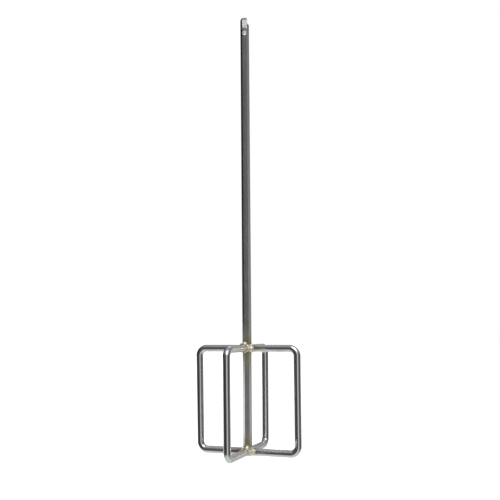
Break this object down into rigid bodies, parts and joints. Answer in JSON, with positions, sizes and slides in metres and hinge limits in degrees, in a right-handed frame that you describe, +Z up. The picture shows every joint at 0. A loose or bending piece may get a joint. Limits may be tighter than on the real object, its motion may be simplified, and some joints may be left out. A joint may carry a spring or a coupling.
{
  "type": "mortar mixing paddle",
  "caption": "Mortar mixing paddle for a drill: a hexagonal bar shaft with a cage head of square loops bent from round rod and welded on, and a cross-drilled shank end.",
  "frame": {"origin": "on the shaft's centreline, level with the underside of the head's bottom arms and of the shaft's lower end", "axes": "+Z up the shaft to the tip; the right loop faces +X and the back loop +Y"},
  "size_m": [0.142, 0.142, 0.571],
  "materials": {
    "plated_bar": "bright plated steel, drawn bar",
    "plated_rod": "bright plated steel, drawn round rod",
    "weld_bead": "plated weld bead with straw and brown heat tint"
  },
  "bodies": {
    "root": {"shaft": "plated_bar", "loop_right": "plated_rod", "loop_back": "plated_rod", "loop_left": "plated_rod", "loop_front": "plated_rod", "weld_right_top": "weld_bead", "weld_back_top": "weld_bead", "weld_left_top": "weld_bead", "weld_front_top": "weld_bead", "weld_right_bottom": "weld_bead", "weld_back_bottom": "weld_bead", "weld_left_bottom": "weld_bead", "weld_front_bottom": "weld_bead"}
  },
  "joints": []
}
